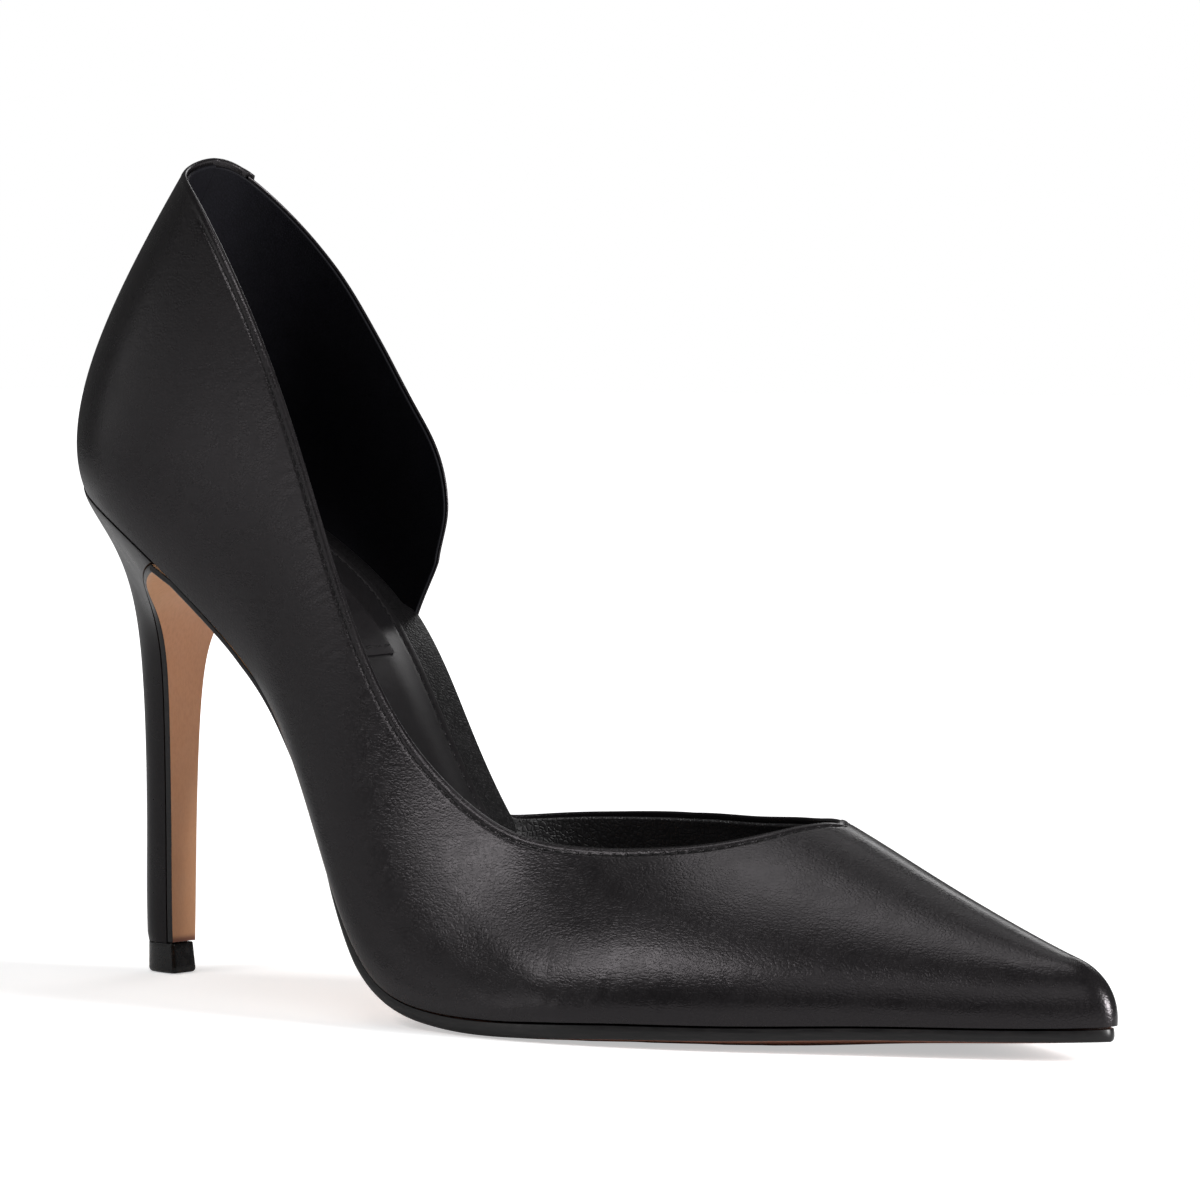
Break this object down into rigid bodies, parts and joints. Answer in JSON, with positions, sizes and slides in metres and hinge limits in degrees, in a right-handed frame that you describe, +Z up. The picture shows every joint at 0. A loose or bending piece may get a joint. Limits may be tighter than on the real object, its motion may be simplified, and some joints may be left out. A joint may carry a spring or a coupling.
{
  "type": "dorsay pump",
  "caption": "Pointed-toe half d'Orsay pump, right shoe: closed outer side, inner side cut away to the insole, slim high heel.",
  "frame": {"origin": "centre of the shoe's box, on the floor plane it stands on", "axes": "+X towards the toe, +Y towards the inner side of the foot, +Z up"},
  "size_m": [0.2229, 0.0766, 0.1473],
  "materials": {
    "upper_leather": "smooth black, soft gloss",
    "insole_leather": "black, fine pebble",
    "sock_leather": "black, satin",
    "patch_leather": "plain black, glossier than the sock",
    "sole_leather": "natural tan, edges painted black",
    "heel_leather": "smooth black, wrapped",
    "lift_plastic": "black, satin gloss"
  },
  "bodies": {
    "root": {"upper": "upper_leather", "insole": "insole_leather", "sock_lining": "sock_leather", "label_patch": "patch_leather", "outsole": "sole_leather", "heel": "heel_leather", "top_lift": "lift_plastic"}
  },
  "joints": []
}
